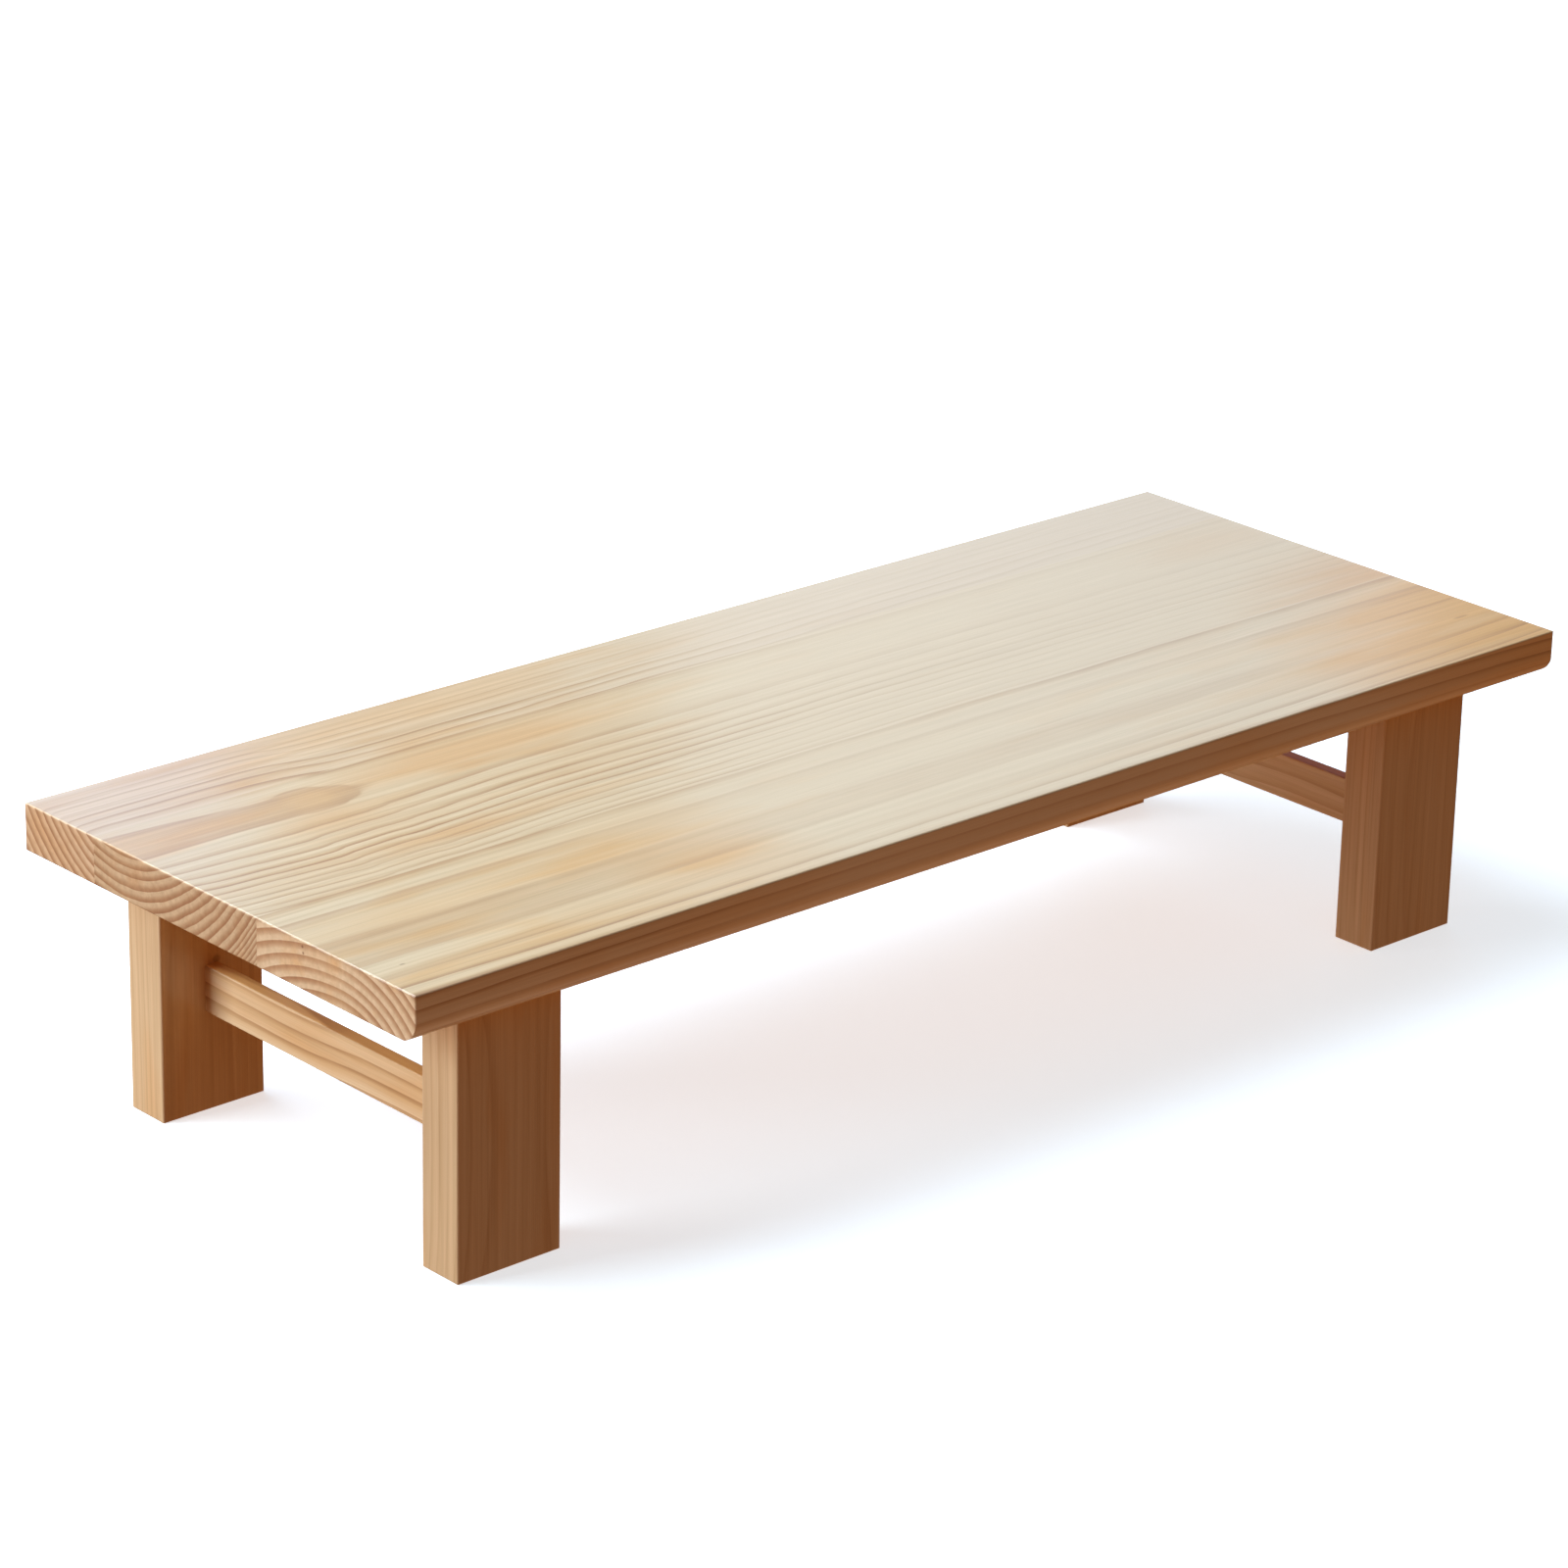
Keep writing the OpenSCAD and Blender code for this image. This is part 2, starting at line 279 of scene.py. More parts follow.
def ringField(tree, grain, board, seed):
    # years counted outwards from the pith, the radius, and how far beside the pith a point lies
    along, across, deep = grain
    span = board["span"]
    pithAcross = pathValue(tree, along, board.get("sidePath"), span, board["pith"][0])
    pithDeep = pathValue(tree, along, board.get("deepPath"), span, board["pith"][1])
    side = calc(tree, "SUBTRACT", across, pithAcross)
    fall = calc(tree, "SUBTRACT", deep, pithDeep)
    squeezeBefore, squeezeAfter = board.get("squeeze", (1.0, 1.0))
    before = calc(tree, "MULTIPLY", calc(tree, "MINIMUM", side, 0.0), squeezeBefore)
    after = calc(tree, "MULTIPLY", calc(tree, "MAXIMUM", side, 0.0), squeezeAfter)
    beside = calc(tree, "ADD", before, after)
    radius = calc(tree, "SQRT", calc(tree, "ADD", calc(tree, "MULTIPLY", beside, beside),
                                     calc(tree, "MULTIPLY", fall, fall)))

    # long and short waves, calm near the pith
    wobble = calc(tree, "MULTIPLY_ADD", grainNoise(tree, grain, "ripple", seed),
                  growth["ripple"], grainNoise(tree, grain, "wobble", seed))
    bulge = pathValue(tree, along, board.get("bulgePath"), span)
    wobble = calc(tree, "MULTIPLY_ADD", wobble, board["wave"], bulge)
    room = calc(tree, "SUBTRACT", radius, board.get("calmAt", 0.0))
    room = calc(tree, "DIVIDE", room, growth["calmReach"], clamp=True)
    radius = calc(tree, "MULTIPLY_ADD", wobble, room, radius)

    # the years have one width inside the radius changeAt and another outside
    changeAt = board["changeAt"]
    inner = calc(tree, "SUBTRACT", calc(tree, "MINIMUM", radius, changeAt), changeAt)
    inner = calc(tree, "DIVIDE", inner, board["spacing"])
    outer = calc(tree, "MAXIMUM", calc(tree, "SUBTRACT", radius, changeAt), 0.0)
    outer = calc(tree, "DIVIDE", outer, board["outerSpacing"])
    years = calc(tree, "ADD", calc(tree, "ADD", inner, outer),
                 growth["firstYear"] + board["ringShift"])
    outwards = calc(tree, "MULTIPLY_ADD", radius, growth["widthStep"], seed)
    uneven = noise(tree, joinAxes(tree, outwards, 0.0, 0.0), detail=1.0)
    years = calc(tree, "MULTIPLY_ADD", uneven, board.get("uneven", growth["uneven"]), years)
    return years, radius, beside


def ringStrength(tree, grain, board, seed, years, radius):
    # each year has its own strength, on the faces and on end grain
    year = calc(tree, "ADD", calc(tree, "FLOOR", years), seed)
    chance = addNode(tree, "ShaderNodeTexWhiteNoise", {"W": year}, noise_dimensions="1D")
    chance = chance.outputs["Value"]
    weakest = board.get("weakest", growth["weakest"])
    onEnds = calc(tree, "MULTIPLY_ADD", chance, growth["endChance"], growth["endStrength"])
    onFaces = calc(tree, "MULTIPLY_ADD", chance, 1.0 - weakest, weakest)
    fade = calc(tree, "MULTIPLY_ADD", grainNoise(tree, grain, "lineFade", seed),
                growth["lineFade"], growth["lineMean"], clamp=True)
    onFaces = calc(tree, "MULTIPLY", onFaces, calc(tree, "MULTIPLY", fade, board["contrast"]))
    if "radiusPath" in board:
        byRadius = pathValue(tree, radius, board["radiusPath"], growth["pathReach"])
        onFaces = calc(tree, "MULTIPLY", onFaces, byRadius)
    return faded(tree, grain, board, onFaces), onEnds


def yearBands(tree, board, years, beside, onFaces, onEnds, endGrain):
    # each year: a broad soft band that ends in a sharp dark line
    phase = calc(tree, "FRACT", years)
    band = ramp(tree, phase, growth["band"])
    line = blendColors(tree, endGrain, ramp(tree, phase, growth["line"]), band)
    strength = blendColors(tree, endGrain, onFaces, onEnds)
    # the line is paler where the face runs along one ring
    steep = calc(tree, "DIVIDE", calc(tree, "ABSOLUTE", beside), growth["steepAt"], clamp=True)
    flatFade = board.get("flatFade", 0.0)
    steep = calc(tree, "MULTIPLY_ADD", steep, flatFade, 1.0 - flatFade)
    line = calc(tree, "MULTIPLY", line, steep)
    amounts = []
    for part, blend in ((band, pineFinish["bandBlend"]), (line, pineFinish["lineBlend"])):
        part = calc(tree, "MULTIPLY", part, blend)
        amounts.append(calc(tree, "MULTIPLY", part, strength, clamp=True))
    return amounts


def warmth(tree, grain, board, seed, radius):
    # slow drift, a path along the board, patches, heartwood and warm spots, from 0 for pale to 1
    # for orange; on the front board the path is partly painted glare, and the warm spots at the
    # right end of the top are partly painted, a deeper orange where no reflection lies
    look = pineFinish
    drift = asShare(tree, grainNoise(tree, grain, "drift", seed))
    base = pathValue(tree, grain[0], board.get("warmAndGlarePath"), board["span"],
                     board.get("warmth", 0.0))
    amount = calc(tree, "MULTIPLY_ADD", drift, look["drift"], base)
    patches = calc(tree, "MULTIPLY_ADD", grainNoise(tree, grain, "patches", seed),
                   look["patchGain"], look["patchStart"], clamp=True)
    patches = faded(tree, grain, board, patches)
    amount = calc(tree, "MULTIPLY_ADD", patches, look["patchBlend"], amount)
    if "heartPath" in board:
        heart = pathValue(tree, radius, board["heartPath"], growth["pathReach"])
        amount = calc(tree, "ADD", amount, heart)
    streaky = calc(tree, "MULTIPLY_ADD", grainNoise(tree, grain, "spotStreaks", seed),
                   look["spotStreak"], 1.0)
    for spot in board.get("warmSpots", []):
        amount = calc(tree, "MULTIPLY_ADD", spotAmount(tree, grain, spot, 0.0), streaky, amount)
    return calc(tree, "MULTIPLY", amount, 1.0, clamp=True)


def woodTone(tree, grain, board, seed, fibre):
    # lighter and darker fibres and streaks, and painted light and shade on the faces below an upper
    # face, which multiply the color
    look = pineFinish
    streaks = faded(tree, grain, board, grainNoise(tree, grain, "streaks", seed))
    tone = calc(tree, "MULTIPLY_ADD", fibre, look["fibreBlend"], board.get("shade", 1.0))
    tone = calc(tree, "MULTIPLY_ADD", streaks, look["streakBlend"], tone)
    if "paintedShadeBelowTop" in board:
        # painted light and shade: the faces below the upper face are made lighter or darker,
        # standing in for the light they get
        belowTopMask = calc(tree, "DIVIDE", grain[2], look["paintedShadeReach"])
        belowTopMask = ramp(tree, belowTopMask, look["paintedShadeStops"])
        tone = calc(tree, "MULTIPLY_ADD", belowTopMask, board["paintedShadeBelowTop"], tone)
    return joinAxes(tree, tone, calc(tree, "POWER", tone, look["greenFall"]),
                    calc(tree, "POWER", tone, look["blueFall"]))


def pineMaterial(name, board):
    look = pineFinish
    material, tree = emptyMaterial(name)
    grain = grainSpace(tree, board["axes"], board["start"])
    seed = board["seed"] * look["seedStep"]
    normal = addNode(tree, "ShaderNodeTexCoord").outputs["Normal"]
    fibreWay = {"x": (1, 0, 0), "y": (0, 1, 0), "z": (0, 0, 1)}[board["axes"][0][1]]
    squarely = calc(tree, "ABSOLUTE", facing(tree, normal, fibreWay))
    endGrain = ramp(tree, squarely, look["endStops"])

    years, radius, beside = ringField(tree, grain, board, seed)
    onFaces, onEnds = ringStrength(tree, grain, board, seed, years, radius)
    band, line = yearBands(tree, board, years, beside, onFaces, onEnds, endGrain)
    fibre = grainNoise(tree, grain, "fibre", seed)
    pore = ramp(tree, grainNoise(tree, grain, "pores", seed), look["poreStops"])

    # color
    color = blendColors(tree, warmth(tree, grain, board, seed, radius),
                        board.get("springWood", look["springWood"]),
                        board.get("warmWood", look["warmWood"]))
    color = blendColors(tree, band, color, look["amberWood"])
    color = blendColors(tree, line, color, look["summerWood"])
    color = blendColors(tree, 1.0, color, woodTone(tree, grain, board, seed, fibre), "MULTIPLY")
    if "paintedUpperLight" in board:
        # painted light and shade: faces that look up are tinted, standing in for the light that
        # reaches them under the top
        upperFaceMask = ramp(tree, facing(tree, normal, (0, 0, 1)), look["paintedUpwardStops"])
        color = tinted(tree, upperFaceMask, color, board["paintedUpperLight"])
    pitted = calc(tree, "MULTIPLY", pore, look["poreBlend"])
    color = blendColors(tree, pitted, color, look["summerWood"])
    color = tinted(tree, endGrain, color, look["endWood"])
    for mark in board.get("darkMarks", []):
        amount = spotAmount(tree, grain, mark, look["markCore"])
        color = blendColors(tree, amount, color, look["markColor"])

    # gloss and relief
    rough = calc(tree, "MULTIPLY_ADD", fibre, look["roughnessDrift"], look["roughness"])
    rough = calc(tree, "MULTIPLY_ADD", line, look["lineRoughness"], rough)
    rough = calc(tree, "MULTIPLY_ADD", endGrain, look["endRoughness"], rough, clamp=True)
    height = calc(tree, "MULTIPLY", line, look["lineRelief"])
    height = calc(tree, "MULTIPLY_ADD", fibre, look["fibreRelief"], height)
    height = calc(tree, "MULTIPLY_ADD", pore, look["poreRelief"], height)
    bump = addNode(tree, "ShaderNodeBump", {
        "Height": height, "Strength": look["reliefStrength"], "Distance": look["reliefDepth"]})
    shader = addNode(tree, "ShaderNodeBsdfPrincipled", {
        "Base Color": color,
        "Roughness": rough,
        "IOR": look["refraction"],
        "Specular IOR Level": board.get("gloss", look["gloss"]),
        "Coat Weight": board.get("lacquer", look["lacquer"]),
        "Coat Roughness": look["lacquerRoughness"],
        "Coat IOR": look["lacquerRefraction"],
        "Normal": bump.outputs["Normal"],
    })
    addNode(tree, "ShaderNodeOutputMaterial", {"Surface": shader.outputs[0]})
    return material


# What each board below sets out, in millimetres: pith is where the heart of the tree lies, across
# and deep; spacing is the width of a year, and outerSpacing its width beyond the radius changeAt;
# wave is how far the rings wander. A path is a row of (place, value) points along the board, or
# along the radius for radiusPath and heartPath. A spot or mark is a soft oval: its middle along,
# across and deep, its reach along and across the grain, and its strength.

# Boards of the top: along from the left end, across from the back edge, deep from the upper face

topSpace = {"axes": ("+x", "-y", "-z"), "start": (700.0, 275.0, 300.0), "span": 1400.0}

topBoards = {
    "top_board_back": {
        **topSpace, "seed": 1, "pith": (160.0, -95.0),
        "spacing": 9.5, "changeAt": 200.0, "outerSpacing": 8.0, "ringShift": 0.726,
        # painted light: the faces below the upper face are a little lighter
        "wave": 2.0, "uneven": 0.08, "contrast": 0.75, "weakest": 0.75, "paintedShadeBelowTop": 0.02,
        "springWood": (0.72, 0.50, 0.30, 1.0),
        "sidePath": [(0, 0.0), (180, -6.0), (300, 8.0), (700, 2.0), (1400, -8.0)],
        "deepPath": [(0, 0.0), (500, -4.0), (1400, 3.0)],
        "radiusPath": [(100, 0.7), (112, 1.3), (126, 1.4), (137, 1.3), (146, 0.4), (157, 0.7),
                       (165, 0.7), (176, 0.2), (200, 0.4)],
        "fadePath": [(0, 0.8), (120, 1.0), (580, 0.95), (700, 0.55), (850, 0.28), (1100, 0.26),
                     (1250, 0.16), (1400, 0.14)],
        "warmAndGlarePath": [(0, 0.0), (500, 0.0), (680, -0.35), (1000, -0.35), (1400, -0.2)],
        "warmSpots": [
            (160.0, 85.0, 0.0, 110.0, 14.0, 0.4),
            (170.0, 75.0, 0.0, 140.0, 40.0, 0.3),
            (400.0, 25.0, 0.0, 360.0, 65.0, 0.4)],
    },
    "top_board_middle": {
        **topSpace, "seed": 2, "pith": (148.0, -118.0),
        "spacing": 9.09, "changeAt": 222.0, "outerSpacing": 4.4, "ringShift": 0.0,
        "wave": 1.8, "calmAt": 124.0, "uneven": 0.12, "contrast": 1.0, "weakest": 0.55,
        # painted shade: the ends and sides below the upper face are darker
        "flatFade": 0.25, "paintedShadeBelowTop": -0.10,
        "sidePath": [(0, -3.0), (70, -1.0), (125, 2.5), (165, 4.5), (200, 3.0), (235, 6.0),
                     (300, 4.0), (450, 0.0), (900, 4.0), (1400, 10.0)],
        "deepPath": [(0, 0.0), (69, -0.9), (124, -1.6), (165, -1.7), (192, -0.8), (205, -0.9),
                     (225, -2.35), (239, -3.1), (251, -4.0), (350, -5.0), (600, -6.0),
                     (1000, -5.5), (1400, -5.0)],
        "bulgePath": [(0, 0.0), (66, -4.5), (116, -6.0), (155, -3.5), (221, -1.5), (331, 0.0),
                      (600, -1.5), (800, 1.5), (1400, 0.0)],
        "radiusPath": [(115, 1.0), (136, 1.15), (150, 1.45), (170, 1.25), (192, 0.95),
                       (212, 0.8), (260, 0.8)],
        "fadePath": [(0, 1.0), (400, 1.0), (680, 0.45), (860, 0.32), (1000, 0.22), (1400, 0.2)],
        "heartPath": [(115, 0.8), (120, 0.7), (125, 0.0), (260, 0.0)],
        "warmAndGlarePath": [(0, -0.2), (140, -0.15), (220, 0.0), (500, 0.0), (680, -0.3),
                     (1000, -0.3), (1250, -0.2), (1400, -0.1)],
        "warmSpots": [
            (450.0, 138.0, 0.0, 270.0, 55.0, 0.7),
            (320.0, 135.0, 0.0, 190.0, 45.0, 0.4),
            (180.0, 202.0, 0.0, 95.0, 32.0, 0.6),
            (110.0, 285.0, 0.0, 240.0, 62.0, 0.35),
            # partly painted: a deeper orange at the right end, where no reflection lies
            (1430.0, 335.0, 0.0, 300.0, 150.0, 1.0)],
    },
    "top_board_front": {
        **topSpace, "seed": 3, "pith": (452.0, 110.0), "squeeze": (0.6, 0.895),
        "spacing": 9.6, "changeAt": 200.0, "outerSpacing": 8.0, "ringShift": 0.15,
        "wave": 1.2, "calmAt": 112.0, "uneven": 0.10, "contrast": 0.8, "weakest": 0.55,
        "warmth": 0.06, "warmWood": (0.70, 0.38, 0.145, 1.0),
        # painted light: the front edge and ends below the upper face are lighter
        "flatFade": 0.55, "paintedShadeBelowTop": 0.12,
        "sidePath": [(0, 0.0), (500, 3.0), (1400, -4.0)],
        "deepPath": [(0, 0.0), (350, 0.3), (940, 1.3), (1177, 2.2), (1400, 4.0)],
        "radiusPath": [(100, 1.0), (122, 1.0), (131, 1.6), (150, 1.8)],
        "fadePath": [(0, 1.1), (220, 1.0), (300, 0.8), (500, 0.45), (700, 0.4), (1000, 0.5),
                     (1200, 0.6), (1400, 0.8)],
        # painted glare: the path pales the front board from about 400 to 1000 mm, where a window's
        # reflection lies; at the right end the path and the warm spots deepen the orange, partly
        # the wood's own colour and partly a painted lack of reflection
        "warmAndGlarePath": [(0, -0.25), (240, -0.2), (400, -0.1), (520, -0.35), (980, -0.3),
                     (1150, -0.25), (1400, 0.0)],
        "warmSpots": [
            (330.0, 400.0, 0.0, 200.0, 70.0, 0.5),
            (150.0, 412.0, 0.0, 270.0, 50.0, 0.45),
            (200.0, 525.0, 0.0, 340.0, 55.0, 0.3),
            (370.0, 468.0, 0.0, 130.0, 50.0, 0.7),
            (1190.0, 475.0, 0.0, 210.0, 72.0, 0.55),
            (1430.0, 415.0, 0.0, 340.0, 90.0, 1.1),
            (1390.0, 525.0, 0.0, 380.0, 95.0, 0.9)],
        "darkMarks": [
            (0.0, 400.0, 5.5, 14.0, 2.0, 0.9),
            (0.0, 401.0, 11.0, 14.0, 1.8, 0.8),
            (33.0, 491.0, 0.0, 4.0, 1.8, 0.45),
            (1360.0, 466.0, 0.0, 14.0, 3.0, 0.3),
            (1345.0, 424.0, 0.0, 125.0, 3.0, 0.22),
            (1370.0, 389.0, 0.0, 90.0, 2.5, 0.15)],
    },
}

for nodeName, board in topBoards.items():
    dress(nodes[nodeName], pineMaterial("pine_" + nodeName, board))
print("top boards dressed:", len(topBoards))


# Legs: along from the floor up, across from the left face, deep from the front face

legShared = {"axes": ("+z", "+x", "+y"), "span": 255.0, "changeAt": 400.0, "outerSpacing": 6.0,
             "wave": 1.0, "warmth": 0.08, "shade": 0.96}

legBoards = {
    "leg_front_left": {
        "seed": 4, "pith": (64.0, -95.0), "spacing": 9.2, "ringShift": 0.3, "contrast": 0.42,
        "sidePath": [(0, 0.0), (110, 3.0), (255, -3.0)],
        "deepPath": [(0, 0.0), (140, -3.0), (255, 2.0)]},
    "leg_back_left": {
        "seed": 5, "pith": (40.0, 150.0), "spacing": 7.5, "ringShift": 0.6, "contrast": 0.38,
        "warmth": 0.0, "shade": 0.98,
        "sidePath": [(0, 0.0), (255, 5.0)],
        "deepPath": [(0, 0.0), (255, 3.0)],
        # a small dark spot on the front face, just above where the rail's upper face meets the leg
        "darkMarks": [(144.0, 61.0, 0.0, 5.5, 6.0, 0.5)]},
    "leg_front_right": {
        "seed": 6, "pith": (78.0, -120.0), "spacing": 8.0, "ringShift": 0.45, "contrast": 0.32,
        "shade": 0.94,
        "sidePath": [(0, 0.0), (255, -4.0)],
        "deepPath": [(0, 0.0), (120, 2.0), (255, -2.0)]},
    "leg_back_right": {
        "seed": 7, "pith": (30.0, 130.0), "spacing": 8.6, "ringShift": 0.4, "contrast": 0.4,
        "sidePath": [(0, 0.0), (255, 4.0)],
        "deepPath": [(0, 0.0), (255, -2.0)]},
}

for nodeName, board in legBoards.items():
    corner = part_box(nodeName)[0] * toMillimetres
    board = {**legShared, "start": (0.0, -corner.x, -corner.y), **board}
    dress(nodes[nodeName], pineMaterial("pine_" + nodeName, board))
print("legs dressed:", len(legBoards))


# Lower rails and top battens: along from front to back, across from the underside,
# deep from the left face

crossShared = {"axes": ("+y", "+z", "+x"), "span": 440.0, "changeAt": 400.0, "outerSpacing": 6.0,
               "lacquer": 0.3, "shade": 1.04,
               "sidePath": [(0, 0.0), (120, 3.0), (300, -3.0), (440, 2.0)],
               "deepPath": [(0, 0.0), (200, 4.0), (440, 0.0)]}

crossBoards = {
    "lower_rail_left": {
        "seed": 8, "pith": (-60.0, 20.0), "spacing": 14.5, "ringShift": 0.03, "contrast": 1.0,
        "wave": 1.6, "uneven": 0.05, "weakest": 0.85, "shade": 1.07,
        # painted light on the upper face: lighter and warmer
        "lacquer": 0.0, "gloss": 0.2, "paintedUpperLight": (1.28, 1.14, 0.76, 1.0)},
    "lower_rail_right": {
        "seed": 9, "pith": (70.0, 55.0), "spacing": 12.0, "ringShift": 0.1, "contrast": 0.8,
        "wave": 1.4, "shade": 1.01,
        # painted shade on the upper face: darker and redder
        "lacquer": 0.0, "gloss": 0.2, "paintedUpperLight": (0.95, 0.62, 0.30, 1.0)},
    "top_batten_left": {
        "seed": 10, "pith": (80.0, 20.0), "spacing": 7.0, "ringShift": 0.0, "contrast": 0.6,
        "wave": 1.2},
    "top_batten_right": {
        "seed": 11, "pith": (-30.0, 30.0), "spacing": 6.2, "ringShift": 0.5, "contrast": 0.6,
        "wave": 1.2},
}

for nodeName, board in crossBoards.items():
    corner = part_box(nodeName)[0] * toMillimetres
    board = {**crossShared, "start": (-corner.y, -corner.z, -corner.x), **board}
    dress(nodes[nodeName], pineMaterial("pine_" + nodeName, board))
print("rails and battens dressed:", len(crossBoards))


# Turned pieces: rings of one closed skin round the Z axis, each ring a height and a radius,
# which may change with the angle

softCorner = 0.3      # the middle ring of a rounded corner, as a share of its size
flankSlope = 2.6      # how steeply a thread rises
creaseAngle = 32.0    # degrees between faces that meet in a sharp edge


def turnedSkin(rings, segments, closed=False):
    shape = bmesh.new()
    loops = []
    for height, radiusAt in rings:
        loop = []
        for i in range(segments):
            angle = 2.0 * math.pi * i / segments
            radius = radiusAt(angle) if callable(radiusAt) else radiusAt
            place = (radius * math.cos(angle), radius * math.sin(angle), height)
            loop.append(shape.verts.new(place))
        loops.append(loop)
    following = loops[1:] + loops[:1] if closed else loops[1:]
    for lower, upper in zip(loops, following):
        for i in range(segments):
            j = (i + 1) % segments
            shape.faces.new((lower[i], lower[j], upper[j], upper[i]))
    if not closed:
        for loop, height in ((loops[0], rings[0][0]), (loops[-1], rings[-1][0])):
            middle = shape.verts.new((0.0, 0.0, height))
            for i in range(segments):
                shape.faces.new((loop[i], loop[(i + 1) % segments], middle))
    bmesh.ops.recalc_face_normals(shape, faces=shape.faces)
    return shape


def hexRadius(flats):
    return lambda angle: 0.5 * flats / math.cos((angle % (math.pi / 3.0)) - math.pi / 6.0)


def threadRadius(height, outer, depth, pitch):
    # a ridge that climbs one pitch for each turn
    def radiusAt(angle):
        place = (height / pitch - angle / (2.0 * math.pi)) % 1.0
        return outer - depth * min(1.0, abs(place - 0.5) * flankSlope)
    return radiusAt


def threadRings(low, high, outer, depth, pitch, steps):
    count = max(1, round((high - low) / pitch * steps))
    heights = [low + (high - low) * k / count for k in range(count + 1)]
    return [(height, threadRadius(height, outer, depth, pitch)) for height in heights]


def setCopies(name, shape, places, material, node):
    # one piece that holds a copy of the shape at each place, and stands for a node of the part
    base = bpy.data.meshes.new(name + "_base")
    shape.to_mesh(base)
    shape.free()
    whole = bmesh.new()
    for place in places:
        single = base.copy()
        single.transform(place)
        whole.from_mesh(single)
        bpy.data.meshes.remove(single)
    mesh = bpy.data.meshes.new(name)
    whole.to_mesh(mesh)
    whole.free()
    bpy.data.meshes.remove(base)
    mesh.shade_smooth()
    mesh.set_sharp_from_angle(angle=math.radians(creaseAngle))
    piece = bpy.data.objects.new(name, mesh)
    bpy.context.scene.collection.objects.link(piece)
    dress(piece, material)
    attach(piece, "root")
    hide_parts(node)


zincFinish = {"color": (0.62, 0.64, 0.67, 1.0), "tint": (0.66, 0.65, 0.58, 1.0),
              "roughness": 0.30, "cloudScale": 160.0, "fineScale": 1400.0}
brassFinish = {"color": (0.74, 0.56, 0.26, 1.0), "tint": (0.60, 0.43, 0.19, 1.0),
               "roughness": 0.27, "cloudScale": 120.0, "fineScale": 1200.0}

# What zinc and brass share
metalGrain = {"detail": 3.0, "fineRoughness": 0.6, "dulling": -0.06, "roughnessDrift": 0.07,
              "reliefStrength": 0.4, "reliefDepth": 0.00003}


def metalMaterial(name, look):
    grain = metalGrain
    material, tree = emptyMaterial(name)
    position = addNode(tree, "ShaderNodeTexCoord").outputs["Object"]
    cloud = noise(tree, position, look["cloudScale"], grain["detail"])
    fine = noise(tree, position, look["fineScale"], grain["detail"], grain["fineRoughness"])
    color = blendColors(tree, asShare(tree, cloud), look["color"], look["tint"])
    dull = calc(tree, "MULTIPLY_ADD", fine, grain["dulling"], 1.0)
    color = blendColors(tree, 1.0, color, joinAxes(tree, dull, dull, dull), "MULTIPLY")
    rough = calc(tree, "MULTIPLY_ADD", fine, grain["roughnessDrift"], look["roughness"],
                 clamp=True)
    bump = addNode(tree, "ShaderNodeBump", {
        "Height": fine, "Strength": grain["reliefStrength"], "Distance": grain["reliefDepth"]})
    shader = addNode(tree, "ShaderNodeBsdfPrincipled", {
        "Base Color": color,
        "Roughness": rough,
        "Metallic": 1.0,
        "Normal": bump.outputs["Normal"],
    })
    addNode(tree, "ShaderNodeOutputMaterial", {"Surface": shader.outputs[0]})
    return material


# Bolts: head down, thread up

boltLook = {
    "headRadius": 0.0065, "headHeight": 0.008, "edge": 0.0008, "knurls": 36, "knurlDepth": 0.00016,
    "socketFlats": 0.006, "socketDepth": 0.004, "socketMouth": 0.0038, "socketEase": 0.0004,
    "socketFloor": 0.0012, "floorRise": 0.0003,
    "radius": 0.004, "length": 0.050, "neck": 0.0004,
    "threadLength": 0.028, "threadDepth": 0.00065, "pitch": 0.00125, "runOut": 0.0006,
    "threadSteps": 5, "segments": 108,
}


def boltPlaces(height):
    # the bolts stand on the middle line of each batten, at its middle and to both sides
    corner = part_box("batten_bolts")[1]
    x = corner.x - boltLook["headRadius"]
    y = corner.y - boltLook["headRadius"]
    return [Matrix.Translation((side * x, row * y, height))
            for side in (-1, 1) for row in (-1, 0, 1)]


def makeBolts():
    look = boltLook
    bottom = -look["headHeight"]
    head, shank, edge, neck = (look[k] for k in ("headRadius", "radius", "edge", "neck"))
    soft = softCorner * edge
    bend = 0.25 * neck    # the shank widens under the head in two steps
    socketFloor = bottom + look["socketDepth"]
    threadStart = look["length"] - look["threadLength"]
    hexagon = hexRadius(look["socketFlats"])

    def knurled(angle):
        return head - look["knurlDepth"] * (0.5 + 0.5 * math.cos(angle * look["knurls"]))

    rings = [
        (socketFloor, look["socketFloor"]), (socketFloor - look["floorRise"], hexagon),
        (bottom + look["socketEase"], hexagon), (bottom, look["socketMouth"]),
        (bottom, head - edge), (bottom + soft, head - soft), (bottom + edge, head),
        (bottom + edge + soft, knurled), (-edge - 2.0 * soft, knurled),
        (-edge - soft, head), (-soft, head), (0.0, head - soft),
        (0.0, shank + neck), (bend, shank + bend), (neck + bend, shank),
        (threadStart - look["runOut"], shank),
    ]
    rings += threadRings(threadStart, look["length"] - edge, shank, look["threadDepth"],
                         look["pitch"], look["threadSteps"])
    rings += [(look["length"], shank - edge)]
    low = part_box("batten_bolts")[0]
    setCopies("bolts", turnedSkin(rings, look["segments"]), boltPlaces(low.z + look["headHeight"]),
              metalMaterial("zinc_bolt", zincFinish), "batten_bolts")


makeBolts()


# Washers: stamped, with a rounded face down and a sharp face up

